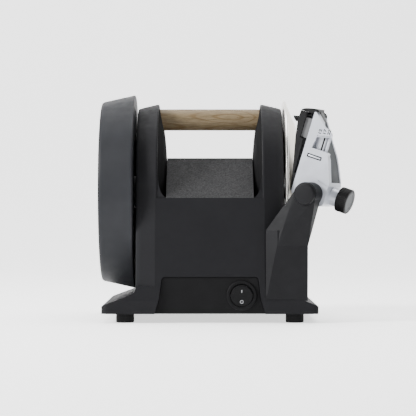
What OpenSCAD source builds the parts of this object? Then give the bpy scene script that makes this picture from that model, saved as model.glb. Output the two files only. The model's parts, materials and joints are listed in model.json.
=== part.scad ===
// Bench knife sharpener: a cast housing with a conical diamond wheel on its
// right, a honing disc on its left, and a tilting knife guide on a bracket.
// X runs along the spindle, Y towards the back, Z up from the floor.

/* [Wheels] */
// Height of the spindle axis above the floor
axle_z = 130; // [128:1:134]
// Radius of the diamond wheel at its rim
wheel_r = 94; // [92:0.5:95]
// Radius of the honing disc at its inner edge
hone_r = 99.5; // [96:0.5:100]
// Width of the honing disc
hone_w = 34.8; // [28:0.2:36]

/* [Housing] */
// Radius of the round top of each upright
upright_r = 90; // [86:0.5:90]
// Half of the distance over the outer faces of the two uprights
upright_x = 73.2; // [73:0.1:73.5]
// Half of the width of the flat front between the two creases
crease_x = 54; // [53.5:0.1:54.5]
// Half of the width of the ridge block between the uprights
block_x = 43.4; // [42:0.2:44]
// Wall thickness of the casting
wall = 4; // [3.5:0.1:4.5]

/* [Base] */
// Half of the width of the base flange
base_x = 107; // [105:0.5:109]
// Half of the depth of the base flange
base_y = 104; // [103:0.5:105]
// Height of the rubber feet
foot_h = 9; // [7:0.5:9]

/* [Handle] */
// Diameter of the wooden handle
handle_d = 22; // [20:0.5:24]
// Height of the handle's axis above the spindle
handle_rise = 74.2; // [73:0.1:75]

/* [Knife guide] */
// Turn of the guide's slot away from straight back, in plan
guide_turn = 25; // [25:1:25]
// Sharpening angle that the guide is set to
guide_tilt = 18; // [12:1:20]
// Depth of the guide along its slot
guide_depth = 35; // [33:0.5:36]
// Diameter of the angle knob
knob_d = 25; // [22:0.5:26]

/* [Drive] */
// Module of the motor stage of the gears
fast_module = 1; // [1:0.05:1]
// Module of the spindle stage of the gears
slow_module = 1.25; // [1.25:0.05:1.25]
// Distance of the idler's axis behind the spindle's
idler_y = 30; // [28:0.5:32]

/* [Hidden] */
$fn = 96;

// The body's centre, measured from the middle of the whole machine's footprint
body_x = -16.47;
body_y = 9.1;

// Running clearance round a turning part, and the gap left round a fixed one
fit = 0.04;
gap = 0.1;

// Housing
foot_at = [83.8, 88];
flange_z = 22;
leg_y = upright_r - 0.3;
lean = base_y - leg_y;
lean_drop = axle_z - flange_z;
side_inset = 4.4;
plate_top = foot_h + 3;
slope_y = 91;
slope_z = 123;
ridge_y = 27;
ridge_z = 164;
inner_face_x = 43.4;
roof_z = 118;
panel_back_y = 96.5;
bearing_plate_r = 66;
bearing_plate_x = upright_x - 4;

// Spindle: bearing 6202 (15 x 35 x 11) in each bearing plate
spindle_r = 7.5;
bearing_r = 17.5;
bearing_w = 11;
wheel_back_x = 75;
wheel_front_x = 87.8;
wheel_hub_r = 69;
wheel_edge_r = 88.8;
wheel_edge_x = 78.6;
coating = 0.5;
hone_x = 76.2;
hone_taper = 7.3;

// Gears
pressure_angle = 25;
backlash = 0.2;
fast_teeth = [14, 66];
slow_teeth = [14, 70];
fast_centres = fast_module * (fast_teeth[0] + fast_teeth[1]) / 2;
slow_centres = slow_module * (slow_teeth[0] + slow_teeth[1]) / 2;
idler_drop = sqrt(slow_centres * slow_centres - idler_y * idler_y);
idler_at = [idler_y, axle_z - idler_drop];
motor_drop = sqrt(fast_centres * fast_centres - idler_y * idler_y);
motor_at = [0, idler_at[1] - motor_drop];
spindle_at = [0, axle_z];
spindle_to_idler = atan2(-idler_drop, idler_y);
idler_to_motor = atan2(-motor_drop, -idler_y);
fast_x = [30, 38];
slow_x = [52, 62];

// Motor
stator_r = 42;
stator_x = [-26, 12];
bell_w = 14;
motor_shaft_r = 4;
capacitor_y = 60;

// Switch
switch_at = [31.3, 27.1];
switch_r = 15;
rocker_r = 10.8;
rocker_rest = 7;
rocker_y = -panel_back_y - 2.2;

// Knife guide: its own frame has X across the slot, Y along it and Z up it
pivot_at = [100.2, -98.4, 126.8];
pivot_r = 4;
boss_r = 11.5;
cap_back = -17.6;
slot_x = -22;
scale_centre = [-5, 20];
scale_depth = 10;
knob_at = [17.5, 2.5];
knob_from = 22.5;
knob_to = 34;

// ---- Shapes along X ----

// A round bar along X from x[0] to x[1], centred at at = [y, z]
module rod_x(x, r, at = spindle_at, end_r = undef) {
    translate([x[0], at[0], at[1]]) rotate([0, 90, 0])
        cylinder(h = x[1] - x[0], r1 = r, r2 = is_undef(end_r) ? r : end_r);
}

// A round bar along X with a bore right through it
module ring_x(x, r, bore_r, at = spindle_at) {
    difference() {
        rod_x(x, r, at);
        rod_x([x[0] - 1, x[1] + 1], bore_r, at);
    }
}

// A flat outline in Y and Z, drawn out along X
module slab_x(x) {
    translate([x[0], 0, 0]) rotate([90, 0, 90]) linear_extrude(x[1] - x[0]) children();
}

// A profile given as [radius, x] points, turned round the X axis at at = [y, z]
module turned_x(profile, at = spindle_at) {
    translate([0, at[0], at[1]]) rotate([0, 90, 0]) rotate_extrude() polygon(profile);
}

// A hexagon nut along X, with a bore
module nut_x(x, across, bore_r) {
    difference() {
        translate([x[0], 0, axle_z]) rotate([0, 90, 0])
            cylinder(h = x[1] - x[0], r = across / 2 / cos(30), $fn = 6);
        rod_x([x[0] - 1, x[1] + 1], bore_r);
    }
}

// Places children at the left and right, mirrored
module both_sides() {
    for (side = [0, 1]) mirror([side, 0, 0]) children();
}

// Moves the body-centred parts into the machine's own frame
module on_body() {
    translate([body_x, body_y, 0]) children();
}

// ---- Gears ----

function polar(r, a) = [r * cos(a), r * sin(a)];
function involute(a) = tan(a) * 180 / PI - a;

// Outline of an involute gear, with one tooth centred on the first axis
function gear_outline(teeth, size) =
    let (
        pitch_r = teeth * size / 2,
        base_r = pitch_r * cos(pressure_angle),
        root_r = pitch_r - 1.25 * size,
        start_r = max(base_r, root_r),
        tip_r = pitch_r + size,
        half = 90 / teeth - backlash / 4 / pitch_r * 180 / PI + involute(pressure_angle),
        flank = [start_r, (start_r + pitch_r) / 2, pitch_r, tip_r]
    )
    [for (i = [0:teeth - 1]) let (mid = i * 360 / teeth) each concat(
        [polar(root_r, mid - half + involute(acos(base_r / start_r)))],
        [for (r = flank) polar(r, mid - half + involute(acos(base_r / r)))],
        [for (k = [3:-1:0]) polar(flank[k], mid + half - involute(acos(base_r / flank[k])))],
        [polar(root_r, mid + half - involute(acos(base_r / start_r)))]
    )];

// A spur gear along X at at = [y, z], with one tooth pointing along angle
module gear_x(x, teeth, size, at, angle) {
    translate([x[0], at[0], at[1]]) rotate([90, 0, 90]) rotate(angle)
        linear_extrude(x[1] - x[0]) polygon(gear_outline(teeth, size));
}

// ---- Housing shapes ----

// Side outline of an upright: round top, with faces that lean out to the base
module upright_outline() {
    translate([0, axle_z]) circle(r = upright_r);
    leg_outline();
}

// Side outline of the leaning legs below the round top
module leg_outline() {
    polygon([[-leg_y, axle_z], [leg_y, axle_z], [base_y, flange_z], [-base_y, flange_z]]);
}

// Side outline of the body between the uprights
module body_outline() {
    polygon([
        [-base_y, flange_z], [-slope_y, slope_z], [slope_y, slope_z], [base_y, flange_z]
    ]);
}

// Side outline of the ridge block, with a low crown on its flat top
module ridge_outline() {
    polygon([
        [-slope_y, slope_z], [-ridge_y, ridge_z], [0, ridge_z + 0.6],
        [ridge_y, ridge_z], [slope_y, slope_z]
    ]);
}

// One outer leg, whose front and back faces draw in towards the outer face
module outer_leg() {
    pull = side_inset / (upright_x - crease_x);
    tilt = asin(lean / lean_drop / norm([pull, 1, lean / lean_drop]));
    turn = atan(pull);
    difference() {
        slab_x([crease_x, upright_x]) leg_outline();
        for (side = [0, 1]) mirror([0, side, 0])
            translate([crease_x, leg_y, axle_z]) rotate([tilt, 0, -turn])
                translate([-60, 0, -150]) cube([120, 40, 200]);
    }
}

// One upright: inner dome, rim, tapered round outer part and leg
module upright() {
    slab_x([crease_x - 2, crease_x]) upright_outline();
    rod_x([crease_x, upright_x], upright_r, spindle_at, upright_r - side_inset);
    outer_leg();
    turned_x([
        [0, 43], [35, 44.4], [64, 47], [75, 49.6], [84, 51.3], [86, 52.2], [0, 52.2]
    ]);
}

// The base flange, whose top slopes up to the legs
module base_flange() {
    intersection() {
        translate([0, base_y, 0]) rotate([90, 0, 0]) linear_extrude(2 * base_y) polygon([
            [-base_x, foot_h], [base_x, foot_h], [base_x, foot_h + 8], [76, foot_h + 18.5],
            [-76, foot_h + 18.5], [-base_x, foot_h + 8]
        ]);
        rounded_block(base_x, base_y, 8, [foot_h, foot_h + 20]);
    }
}

// A flat block with round upright corners
module rounded_block(half_x, half_y, r, z) {
    translate([0, 0, z[0]]) linear_extrude(z[1] - z[0]) {
        square([2 * (half_x - r), 2 * half_y], center = true);
        square([2 * half_x, 2 * (half_y - r)], center = true);
        for (x = [-1, 1], y = [-1, 1]) translate([x * (half_x - r), y * (half_y - r)]) circle(r = r);
    }
}

// The opening for the front and rear panels, in front view
module panel_outline(inset) {
    polygon([
        [-47.3 + inset, 45.3 - inset], [47.3 - inset, 45.3 - inset], [50 - inset, 23],
        [54 - inset, plate_top + inset], [-54 + inset, plate_top + inset], [-50 + inset, 23]
    ]);
}

// A flat outline in X and Z, drawn out along Y
module slab_y(y) {
    translate([0, y[1], 0]) rotate([90, 0, 0]) linear_extrude(y[1] - y[0]) children();
}

// A round bar along Y at at = [x, z]
module rod_y(y, r, at) {
    translate([at[0], y[1], at[1]]) rotate([90, 0, 0]) cylinder(h = y[1] - y[0], r = r);
}

// The hollow inside the housing: the body below, and the ridge block above it
module housing_hollow() {
    slab_x([-crease_x + wall, inner_face_x]) polygon([
        [-base_y + 2 * wall, plate_top], [-slope_y + wall, roof_z], [slope_y - wall, roof_z],
        [base_y - 2 * wall, plate_top]
    ]);
    slab_x([-block_x + wall, block_x - wall]) polygon([
        [-slope_y + 5, roof_z - 20], [-slope_y + 5, slope_z - 1.6], [-ridge_y + 1, ridge_z - wall],
        [ridge_y - 1, ridge_z - wall], [slope_y - 5, slope_z - 1.6], [slope_y - 5, roof_z - 20]
    ]);
    rod_x([-bearing_plate_x, -crease_x - 2], 40);
    rod_x([47.4, bearing_plate_x], 50);
    rod_x([47.4, bearing_plate_x], 12, idler_at);
}

module screw_places() {
    for (a = [30:60:330]) rotate([a, 0, 0]) translate([0, 58, 0]) children();
}

// ---- Fixed parts ----

// Cast housing: two uprights, the ridge block and the base flange, in one piece
module housing() {
    color("#303032") on_body() difference() {
        union() {
            slab_x([-crease_x, crease_x]) body_outline();
            slab_x([-block_x, block_x]) ridge_outline();
            both_sides() upright();
            base_flange();
        }
        housing_hollow();
        rounded_block(98 + gap, 96 + gap, 6, [foot_h - 1, plate_top]);
        for (side = [0, 1]) mirror([0, side, 0]) slab_y([-base_y - 6, -92]) hull() {
            panel_outline(0);
            translate([-54, foot_h - 1]) square([108, 1]);
        }
        both_sides() {
            rod_x([bearing_plate_x, upright_x + 1], bearing_plate_r + gap);
            rod_x([38, upright_x], spindle_r + 2);
            translate([0, 0, axle_z]) screw_places() rod_x([59, upright_x], 2.02, [0, 0]);
            rod_x([40, 56], handle_d / 2 + 0.05, [0, axle_z + handle_rise]);
            rod_x([55, upright_x + 1], 3.1, [0, axle_z + handle_rise]);
            rod_x([66, upright_x + 1], 6, [0, axle_z + handle_rise]);
            foot_places() cylinder(h = 22, r = 2.02);
        }
        rod_x([40, 48], 6.02, idler_at);
        rod_y([-panel_back_y, -80], 13.95, switch_at);
        bracket_bolt_places() rod_x([58, 80], 3.02, [0, 0]);
    }
}

module foot_places() {
    for (side = [-1, 1]) translate([foot_at[0], side * foot_at[1], 0]) children();
}

module bottom_plate() {
    color("#2a2a2c") on_body() difference() {
        union() {
            rounded_block(98, 96, 6, [foot_h, plate_top]);
            for (x = [-34, 4], y = [-84, -56]) translate([x, y, plate_top]) cylinder(h = 6, r = 3);
            for (x = [-36, -4]) translate([x - 5, -24, plate_top]) cube([10, 48, 2.5]);
        }
        both_sides() foot_places() cylinder(h = 30, r = 2.1);
        for (i = [0:7]) translate([-35 + 10 * i, 62, foot_h - 1]) cube([4, 24, 5]);
    }
}

module end_panel() {
    slab_y([-panel_back_y - 3, -panel_back_y]) hull() {
        panel_outline(gap);
        translate([-54 + gap, foot_h]) square([108 - 2 * gap, 1]);
    }
}

module switch_panel() {
    color("#1f1f21") on_body() difference() {
        end_panel();
        rod_y([-panel_back_y - 4, -panel_back_y + 1], 13.92, switch_at);
    }
}

module inlet_panel() {
    color("#1f1f21") on_body() difference() {
        mirror([0, 1, 0]) end_panel();
        translate([-39.05, panel_back_y - 1, 16.95]) cube([28.1, 5, 20.1]);
        for (i = [0:5]) translate([4 + 7 * i, panel_back_y - 1, 16]) cube([3, 5, 22]);
    }
}

// A rubber foot, dished round its screw
module foot(x, y) {
    color("#141414") on_body() translate([x, y, 0]) difference() {
        rotate_extrude() polygon([[0, 0], [8, 0], [9, 1.2], [9, foot_h], [0, foot_h]]);
        translate([0, 0, -1]) cylinder(h = foot_h + 2, r = 2.1);
        translate([0, 0, -1]) cylinder(h = 5, r = 4);
    }
}

module foot_front_left() { foot(-foot_at[0], -foot_at[1]); }
module foot_front_right() { foot(foot_at[0], -foot_at[1]); }
module foot_rear_left() { foot(-foot_at[0], foot_at[1]); }
module foot_rear_right() { foot(foot_at[0], foot_at[1]); }

module foot_screws() {
    color("silver") on_body() both_sides() foot_places() difference() {
        union() {
            translate([0, 0, 1.6]) cylinder(h = 2.4, r = 3.8);
            translate([0, 0, 4]) cylinder(h = 17.5, r = 2);
        }
        translate([0, 0, 1]) cylinder(h = 2, r = 1.6, $fn = 6);
    }
}

module handle_grip() {
    color("#b59c74") on_body() difference() {
        rod_x([-55.9, 55.9], handle_d / 2, [0, axle_z + handle_rise]);
        both_sides() rod_x([36, 57], 3.02, [0, axle_z + handle_rise]);
    }
}

module handle_screws() {
    color("silver") on_body() both_sides() difference() {
        union() {
            rod_x([37, 66], 3, [0, axle_z + handle_rise]);
            rod_x([66, 70], 5, [0, axle_z + handle_rise]);
        }
        translate([68, 0, axle_z + handle_rise]) rotate([0, 90, 0]) cylinder(h = 3, r = 2.5, $fn = 6);
    }
}

// End plate that carries a spindle bearing in its boss
module bearing_plate() {
    difference() {
        union() {
            rod_x([bearing_plate_x, upright_x], bearing_plate_r);
            rod_x([62.6, bearing_plate_x], bearing_r + 4.5);
        }
        rod_x([upright_x - bearing_w, upright_x + 1], bearing_r + 0.02);
        rod_x([60, upright_x], bearing_r - 3);
        translate([0, 0, axle_z]) screw_places() {
            rod_x([60, upright_x + 1], 2.1, [0, 0]);
            rod_x([upright_x - 2, upright_x + 1], 3.6, [0, 0]);
        }
    }
}

module bearing_plate_left() {
    color("#55585c") on_body() mirror([1, 0, 0]) bearing_plate();
}

module bearing_plate_right() {
    color("#55585c") on_body() difference() {
        union() {
            bearing_plate();
            rod_x([63, bearing_plate_x], 9, idler_at);
        }
        rod_x([62, 71], 6.02, idler_at);
    }
}

module plate_screws() {
    color("silver") on_body() both_sides() translate([0, 0, axle_z]) screw_places() {
        rod_x([60, upright_x - 2], 2, [0, 0]);
        rod_x([upright_x - 2, upright_x - 0.2], 3.5, [0, 0]);
    }
}

module spindle_bearings() {
    color("silver") on_body() both_sides()
        ring_x([upright_x - bearing_w, upright_x - 0.1], bearing_r, spindle_r + fit);
}

module idler_bushes() {
    color("#b08d57") on_body() {
        ring_x([inner_face_x, inner_face_x + wall], 6, 4 + fit, idler_at);
        ring_x([63, 70.9], 6, 4 + fit, idler_at);
    }
}

module bolt_places() {
    for (a = [45:90:315]) rotate([a, 0, 0]) translate([0, 38, 0]) children();
}

module motor_stator() {
    color("#8a8f96") on_body() difference() {
        rod_x(stator_x, stator_r, motor_at);
        rod_x([-30, 16], 24, motor_at);
        translate([0, motor_at[0], motor_at[1]]) {
            for (i = [0:11]) rotate([i * 30, 0, 0]) translate([-30, 23, -2.5]) cube([46, 9, 5]);
            bolt_places() rod_x([-30, 16], 2.1, [0, 0]);
        }
    }
}

module motor_windings() {
    color("#b5652a") on_body() for (x = [[stator_x[0] - 8, stator_x[0]], [stator_x[1], stator_x[1] + 8]])
        ring_x(x, 33, 25, motor_at);
}

// Motor end bell, open towards the stator, with a seat for its bearing
module motor_bell() {
    difference() {
        union() {
            difference() {
                rod_x([0, bell_w], stator_r, motor_at);
                rod_x([-1, bell_w - 4], stator_r - 6, motor_at);
            }
            rod_x([bell_w - 7, bell_w - 3], 14, motor_at);
        }
        rod_x([-1, bell_w + 1], 11.02, motor_at);
        translate([0, motor_at[0], motor_at[1]]) {
            bolt_places() rod_x([-1, bell_w + 1], 2.1, [0, 0]);
            for (i = [0:7]) rotate([i * 45, 0, 0]) translate([bell_w - 5, 22, -3]) cube([6, 10, 6]);
        }
    }
}

module motor_bell_left() {
    color("#6d7074") on_body() translate([stator_x[0], 0, 0]) mirror([1, 0, 0]) motor_bell();
}

module motor_bell_right() {
    color("#6d7074") on_body() translate([stator_x[1], 0, 0]) motor_bell();
}

module motor_bearings() {
    color("silver") on_body() for (x = [stator_x[0] - bell_w, stator_x[1] + bell_w - 7])
        ring_x([x, x + 7], 11, motor_shaft_r + fit, motor_at);
}

module motor_bolts() {
    color("silver") on_body() translate([0, motor_at[0], motor_at[1]]) bolt_places() {
        rod_x([stator_x[0] - bell_w, stator_x[1] + bell_w], 2, [0, 0]);
        rod_x([stator_x[1] + bell_w, stator_x[1] + bell_w + 3], 3.5, [0, 0]);
    }
}

module run_capacitor() {
    color("#d8d8d4") on_body() {
        rod_x([-42, 14], 16, [capacitor_y, plate_top + 16]);
        for (y = [-6, 6]) rod_x([14, 19], 3, [capacitor_y + y, plate_top + 16]);
    }
}

module control_board() {
    color("#2c6b3f") on_body() {
        translate([-40, -91, plate_top + 6]) cube([50, 42, 1.6]);
        translate([-34, -82, plate_top + 7.6]) cube([16, 14, 12]);
        translate([-12, -84, plate_top + 7.6]) cube([10, 20, 8]);
    }
}

module power_inlet() {
    color("#1a1a1a") on_body() difference() {
        union() {
            translate([-39, 82, 17]) cube([28, 16, 20]);
            translate([-47.6, panel_back_y + 3, 15]) cube([45.2, 2, 24]);
            translate([-39, 97, 17]) cube([28, 4, 20]);
        }
        translate([-37, 86, 19]) cube([24, 20, 16]);
        for (x = [-32, -25, -18]) translate([x - 1, 80, 25]) cube([2, 10, 4]);
    }
}

module inlet_pins() {
    color("gold") on_body() for (x = [-32, -25, -18]) translate([x - 0.98, 78, 25.02]) cube([1.96, 18, 3.96]);
}

module switch_bezel() {
    color("#161616") on_body() difference() {
        union() {
            rod_y([-panel_back_y - 5, -panel_back_y - 3], switch_r, switch_at);
            rod_y([-panel_back_y - 3.1, -82], 13.9, switch_at);
        }
        rod_y([-panel_back_y - 6, -91.5], 11.6, switch_at);
        rod_x([switch_at[0] - 13, switch_at[0] + 13], 1.22, [rocker_y, switch_at[1]]);
    }
}

module switch_pin() {
    color("silver") on_body()
        rod_x([switch_at[0] - 12.9, switch_at[0] + 12.9], 1.2, [rocker_y, switch_at[1]]);
}

// The knife guide's frame, before it is tilted, and after
module on_pivot() {
    on_body() translate(pivot_at) rotate([0, 0, -guide_turn]) children();
}

module on_guide() {
    on_body() translate(pivot_at) rotate([0, guide_tilt, -guide_turn]) children();
}

module bracket_bolt_places() {
    for (z = [44, 64]) translate([0, -93, z]) children();
}

// Cast bracket that leans forwards from the base and carries the pivot boss
module guide_bracket() {
    color("#34363a") difference() {
        union() {
            on_body() hull() {
                translate([55, -base_y, flange_z]) cube([41, 18, 2]);
                translate([66, -108, 78]) cube([30, 17, 1]);
                translate([55, -99, 90]) cube([1, 2, 1]);
                translate([66, -107, 90]) cube([20, 10, 1]);
            }
            hull() {
                on_body() translate([66, -108, 76]) cube([30, 16, 2]);
                on_body() translate([55, -99, 90]) cube([1, 2, 1]);
                on_pivot() rod_y([cap_back + 0.6, -1.5], boss_r - 0.6, [0, 0], $fn = 32);
            }
            on_pivot() rod_y([cap_back, -0.4], boss_r, [0, 0]);
        }
        on_pivot() {
            rod_y([cap_back - 1, 1], pivot_r + 0.02, [0, 0]);
            rod_y([-30, cap_back], boss_r, [0, 0]);
            rod_y([-0.4, guide_depth], 24, [0, 0]);
        }
        on_body() {
            outer_leg();
            slab_x([crease_x - 2, crease_x]) upright_outline();
            base_flange();
            bracket_bolt_places() {
                rod_x([50, 100], 3.1, [0, 0]);
                rod_x([90, 100], 5.5, [0, 0]);
            }
        }
    }
}

module bracket_bolts() {
    color("silver") on_body() bracket_bolt_places() difference() {
        union() {
            rod_x([60, 90], 3, [0, 0]);
            rod_x([90, 95], 5, [0, 0]);
        }
        translate([92.5, 0, 0]) rotate([0, 90, 0]) cylinder(h = 3, r = 2.5, $fn = 6);
    }
}

module pivot_pin() {
    color("silver") on_pivot() rod_y([-20, 33], pivot_r, [0, 0]);
}

module pivot_cap() {
    color("#26272a") on_pivot() difference() {
        translate([0, cap_back, 0]) rotate([90, 0, 0]) rotate_extrude()
            polygon([[0, 0], [11, 0], [11, 3], [10, 4], [0, 4]]);
        rod_y([-20, cap_back + 1], pivot_r + 0.02, [0, 0]);
    }
}

// ---- Spindle ----

module spindle_shaft() {
    color("silver") on_body() {
        rod_x([-upright_x - 0.3, wheel_back_x + 3], spindle_r);
        rod_x([-106, -upright_x - 0.3], 6);
        rod_x([wheel_back_x + 3, 97], 6);
    }
}

module output_gear() {
    color("#c9a24a") on_body() difference() {
        union() {
            gear_x(slow_x, slow_teeth[1], slow_module, spindle_at, spindle_to_idler);
            rod_x([48, slow_x[0] + 1], 13);
        }
        rod_x([47, slow_x[1] + 1], spindle_r + 0.02);
    }
}

// Steel wheel with a web, whose rim and cone face are turned in one profile
module diamond_wheel() {
    color("#d9dadb") on_body() turned_x([
        [6.02, wheel_back_x + 3], [20, wheel_back_x + 3], [20, 82], [60, 82], [66, wheel_back_x + 1],
        [80, wheel_back_x], [wheel_r - 1, wheel_back_x], [wheel_r, wheel_back_x + 1],
        [wheel_r, 77.2], [92.4, 78.2], [wheel_edge_r, wheel_edge_x], [wheel_edge_r, wheel_edge_x - 0.1],
        [wheel_hub_r, wheel_front_x - coating], [wheel_hub_r, wheel_front_x], [6.02, wheel_front_x]
    ]);
}

// The diamond coating on the cone face
module abrasive_ring() {
    color("#e8e6dc") on_body() turned_x([
        [wheel_edge_r - 0.2, wheel_edge_x + 0.05], [wheel_hub_r + 0.05, wheel_front_x - coating + 0.03],
        [wheel_hub_r + 0.05, wheel_front_x], [wheel_edge_r - 0.1, wheel_edge_x + 0.45]
    ]);
}

module wheel_nut() {
    color("silver") on_body() {
        ring_x([wheel_front_x, wheel_front_x + 1.6], 14, 6.02);
        nut_x([wheel_front_x + 1.6, 95], 19, 6.02);
    }
}

// Hub and web of the honing disc, which lie below its rim on the outer side
module honing_core() {
    color("#3c3d40") on_body() turned_x([
        [6.02, -88], [6.02, -upright_x - 0.4], [16, -upright_x - 0.4], [16, -82], [55, -82],
        [59.9, -hone_x - 1], [59.9, -hone_x - hone_w + 4], [55, -92], [22, -92], [22, -96], [12, -96], [12, -88]
    ]);
}

module honing_ring() {
    color("#46474a") on_body() turned_x([
        [60, -hone_x], [hone_r - 1.5, -hone_x], [hone_r, -hone_x - 1.5],
        [hone_r - hone_taper, -hone_x - hone_w + 2], [hone_r - hone_taper - 2, -hone_x - hone_w],
        [60, -hone_x - hone_w]
    ]);
}

module honing_nut() {
    color("silver") on_body() {
        ring_x([-89.6, -88], 11.5, 6.02);
        nut_x([-97, -89.6], 19, 6.02);
    }
}

// ---- Idler and motor rotor ----

// Idler shaft with its pinion cut in one piece
module idler_shaft() {
    color("silver") on_body() {
        rod_x([29.5, 70.6], 4, idler_at);
        gear_x(slow_x, slow_teeth[0], slow_module, idler_at,
            spindle_to_idler + 180 + 180 / slow_teeth[0]);
    }
}

module idler_gear() {
    color("#e7e3d4") on_body() difference() {
        union() {
            gear_x(fast_x, fast_teeth[1], fast_module, idler_at, idler_to_motor);
            rod_x([fast_x[1] - 1, 42.8], 8, idler_at);
        }
        rod_x([fast_x[0] - 1, 44], 4.02, idler_at);
    }
}

// Motor shaft with the first pinion cut in one piece
module motor_shaft() {
    color("silver") on_body() {
        rod_x([-49.4, 39], motor_shaft_r, motor_at);
        gear_x(fast_x, fast_teeth[0], fast_module, motor_at,
            idler_to_motor + 180 + 180 / fast_teeth[0]);
    }
}

module motor_rotor() {
    color("#9aa0a6") on_body() ring_x([-28, 14], 23.4, motor_shaft_r + 0.02, motor_at);
}

module motor_fan() {
    color("#2b2b2b") on_body() {
        ring_x([-49, -41], 8, motor_shaft_r + 0.02, motor_at);
        translate([0, motor_at[0], motor_at[1]]) for (i = [0:8]) rotate([i * 40, 0, 0])
            translate([-48, 7.5, -0.8]) cube([6, 24, 1.6]);
    }
}

// ---- Switch ----

module switch_rocker() {
    color("#1c1c1c") on_body() translate([switch_at[0], rocker_y, switch_at[1]])
        rotate([rocker_rest, 0, 0]) difference() {
            rod_y([-4.2, 3.2], rocker_r, [0, 0]);
            rod_x([-15, 15], 1.26, [0, 0]);
        }
}

// ---- Knife guide ----

// Front outline of the guide, with the scale housing standing out at its right
module scale_side_outline() {
    polygon([
        [-19.5, -7], [slot_x, -3], [slot_x, 77.4], [-20.3, 78.2], [-7.1, 66.5], [-1.3, 64.3],
        [1.5, 61.5], [2.7, 55.3], [2.7, 49.4], [3.5, 45.6], [4.1, 39.9], [6, 37.1],
        [14.3, 14], [14.3, -7], [11, -9.6], [-16, -9.6]
    ]);
}

// The sloping right side of the guide behind its scale housing, top to bottom
guide_side = [[-20, 72.2], [-18, 68], [-12.7, 60], [-7.3, 52], [-2, 44.7], [2, 39], [5.7, 32], [13.4, 15.6]];

module rear_outline() {
    polygon(concat(
        [[slot_x, -3], [slot_x, 74]], guide_side,
        [[14.3, 12], [14.3, -7], [11, -9.6], [-16, -9.6], [-19.5, -7]]
    ));
}

// A band that follows the sloping side, between two depths below its surface
module side_band(out, in, w) {
    slab_y(w) polygon(concat(
        [for (i = [1:7]) guide_side[i] - [out, 0]],
        [for (i = [7:-1:1]) guide_side[i] - [in, 0]]
    ));
}

module guide_casting() {
    color("#c5c8cf") on_guide() difference() {
        union() {
            slab_y([0, scale_depth]) scale_side_outline();
            slab_y([scale_depth, guide_depth]) rear_outline();
            rod_x([8, knob_from - 0.4], 9, knob_at);
        }
        rod_y([-1, guide_depth + 1], pivot_r + fit, [0, 0]);
        rod_x([10, knob_from + 1], 3 + fit, knob_at);
        translate([-14.6, -1, 43.3]) cube([20, 7, 11.7]);
        translate([-16.6, 2.2, 15]) cube([17.6, 6.4, 42]);
        translate([-16.8, -1, 33.5]) cube([15.8, 1.8, 3.9]);
        side_band(-6, 2, [13, 32]);
    }
}

module guide_side_insert() {
    color("#606060") on_guide() side_band(0.6, 1.98, [13 + gap, 32 - gap]);
}

module guide_badge() {
    color("#d8dadf") on_guide() translate([-16.7, 0.1, 33.6]) cube([15.6, 0.7, 3.7]);
}

module scale_plate() {
    color("#f0f0ee") on_guide() translate([-16.5, 6.4, 41]) cube([17.4, 2.1, 15.9]);
}

module scale_pointer() {
    color("#111111") on_guide() {
        translate([scale_centre[0] - 0.6, 4, scale_centre[1]]) cube([1.2, 1, 33]);
        rod_y([3.4, 5.4], 3, scale_centre);
    }
}

// Black end frame of the slot: a cheek at each end, and the leg below the jaw
module guide_leg() {
    color("#1d1e20") on_guide() difference() {
        union() {
            for (w = [0, guide_depth - 2]) slab_y([w, w + 2]) polygon([
                [-34.6, 75.5], [-29.5, 75.5], [-29.5, 49.5], [-31.8, 47], [-35, 67]
            ]);
            slab_y([0, guide_depth]) polygon([
                [-31.4, 49], [-25.8, 49], [-24.8, 10], [-25.5, 10]
            ]);
        }
        rod_y([-1, guide_depth + 1], 1.27, [-32, 72]);
    }
}

// Cap over the slot, drawn in at its far right corner
module top_cap() {
    color("#1d1e20") on_guide() intersection() {
        slab_y([0, guide_depth]) polygon([
            [-34.6, 75.6], [-29, 79.4], [-21.5, 81], [-18.2, 80.4], [-17.4, 78.6],
            [-22.3, 78.6], [-22.3, 75.6]
        ]);
        translate([0, 0, 70]) linear_extrude(15) polygon([
            [-36, -1], [-16, -1], [-16, 8], [-26.5, guide_depth + 1], [-36, guide_depth + 1]
        ]);
    }
}

module jaw_pin() {
    color("silver") on_guide() rod_y([0, guide_depth], 1.25, [-32, 72]);
}

// Sprung jaw: a knuckle on the pin, a plate below it and a hook to open it
module pressure_jaw() {
    color("#1d1e20") on_guide() difference() {
        union() {
            rod_y([2.3, guide_depth - 2.3], 2.8, [-32, 72]);
            slab_y([2.3, guide_depth - 2.3]) polygon([
                [-34.6, 71], [-29.8, 71], [-30.8, 50], [-32.6, 50], [-35, 67]
            ]);
            slab_y([3, 11]) polygon([[-34, 70], [-43.6, 67.8], [-43, 66.4], [-39.6, 63], [-34, 64]]);
        }
        rod_y([0, guide_depth], 1.3, [-32, 72]);
        translate([-36, 14, 68.5]) cube([8, 7, 8]);
        wire_bar(1.2 + fit, 0);
    }
}

// The wire that hangs in a seat in the hook, from a given depth in the seat
module wire_bar(r, from) {
    translate([-38.5, 7, 66]) rotate([0, 163, 0]) translate([0, 0, from]) cylinder(h = 13.6 - from, r = r);
}

module jaw_pad() {
    color("#808080") on_guide() slab_y([2.5, guide_depth - 2.5]) polygon([
        [-29.8, 70], [-22.4, 70], [-22.4, 51.5], [-23.4, 50.4], [-30.72, 50.4]
    ]);
}

module jaw_wire() {
    color("silver") on_guide() wire_bar(1.2, gap);
}

// Torsion spring round the jaw's pin, as the space that its coil fills
module jaw_spring() {
    color("silver") on_guide() difference() {
        rod_y([14.5, 20.5], 2.4, [-32, 72]);
        rod_y([14, 21], 1.35, [-32, 72]);
    }
}

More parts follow.
